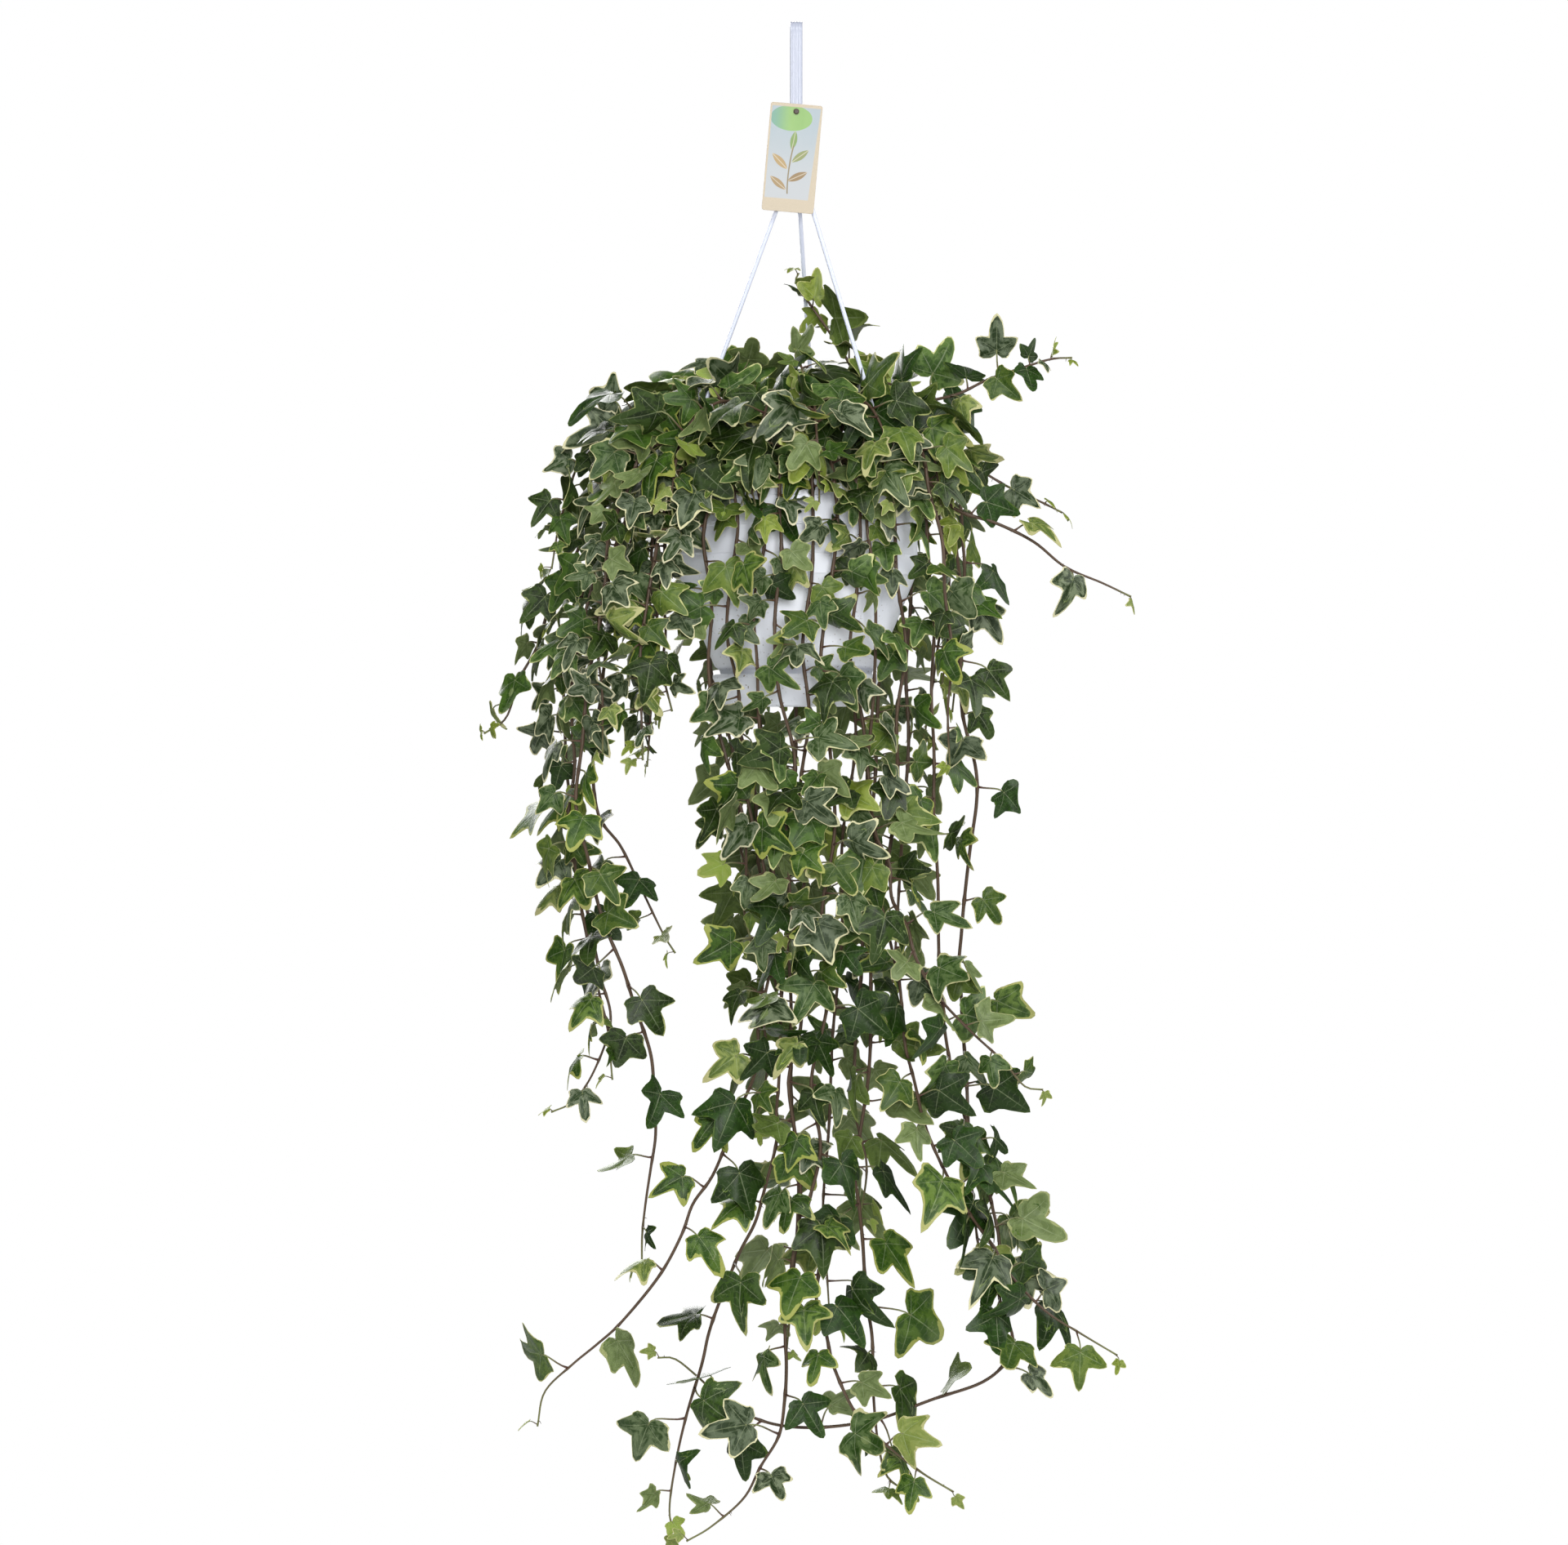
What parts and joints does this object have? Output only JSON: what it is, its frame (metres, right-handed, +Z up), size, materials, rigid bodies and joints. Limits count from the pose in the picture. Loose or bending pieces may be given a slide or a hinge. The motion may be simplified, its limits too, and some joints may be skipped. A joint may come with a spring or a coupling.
{
  "type": "potted english ivy in a hanging pot",
  "caption": "Variegated English ivy with long trailing stems in a white hanging pot with drip saucer, clip-on hanger and care tag.",
  "frame": {"origin": "where the top of the hanger's hook bears on what holds it up", "axes": "+Z up, -Y to the front that the tag faces, +X to the right of that front"},
  "size_m": [0.5293, 0.3118, 1.2348],
  "materials": {
    "pot_plastic": "satin moulded",
    "hanger_plastic": "smooth, translucent white",
    "tag_card": "smooth printed sheet",
    "pin_head": "matte",
    "soil": "crumbly peat and bark",
    "ivy": "leathery leaf, waxy"
  },
  "bodies": {
    "root": {"pot": "pot_plastic", "saucer": "pot_plastic", "hanger": "hanger_plastic", "tag": "tag_card", "tag_pin": "pin_head", "soil": "soil", "stem_right_outer": "ivy", "stem_right_curtain": "ivy", "stem_right_shoot": "ivy", "stem_right_spray": "ivy", "stem_right_rear_short": "ivy", "stem_right_rear": "ivy", "stem_rear_right_low": "ivy", "stem_rear_right_long": "ivy", "stem_rear_right_tail": "ivy", "stem_rear_tail": "ivy", "stem_rear_middle": "ivy", "stem_rear_left_long": "ivy", "stem_rear_left_low": "ivy", "stem_rear_left_curtain": "ivy", "stem_left_rear": "ivy", "stem_rear_left_short": "ivy", "stem_left_stray": "ivy", "stem_left_curl": "ivy", "stem_left_hook": "ivy", "stem_left_outer": "ivy", "stem_left_long": "ivy", "stem_left_front_low": "ivy", "stem_left_front": "ivy", "stem_left_front_short": "ivy", "stem_front_left": "ivy", "stem_front_left_long": "ivy", "stem_front_left_tail": "ivy", "stem_front_short": "ivy", "stem_front_tail": "ivy", "stem_front_right_tail": "ivy", "stem_front_right_swing": "ivy", "stem_front_right_mid": "ivy", "stem_front_right_long": "ivy", "stem_right_front": "ivy", "stem_right_front_loop": "ivy", "stem_right_low_spray": "ivy", "stem_top_shoot": "ivy", "stem_crown_right": "ivy", "stem_crown_rear_right": "ivy", "stem_crown_top_right": "ivy", "stem_crown_rear": "ivy", "stem_crown_left_rear": "ivy", "stem_crown_rear_left": "ivy", "stem_crown_top_rear": "ivy", "stem_crown_left": "ivy", "stem_crown_left_front": "ivy", "stem_crown_front_left": "ivy", "stem_crown_top_left": "ivy", "stem_crown_front": "ivy", "stem_crown_right_front": "ivy", "stem_crown_front_right": "ivy", "stem_crown_far_right": "ivy", "stem_crown_top_front": "ivy"}
  },
  "joints": []
}
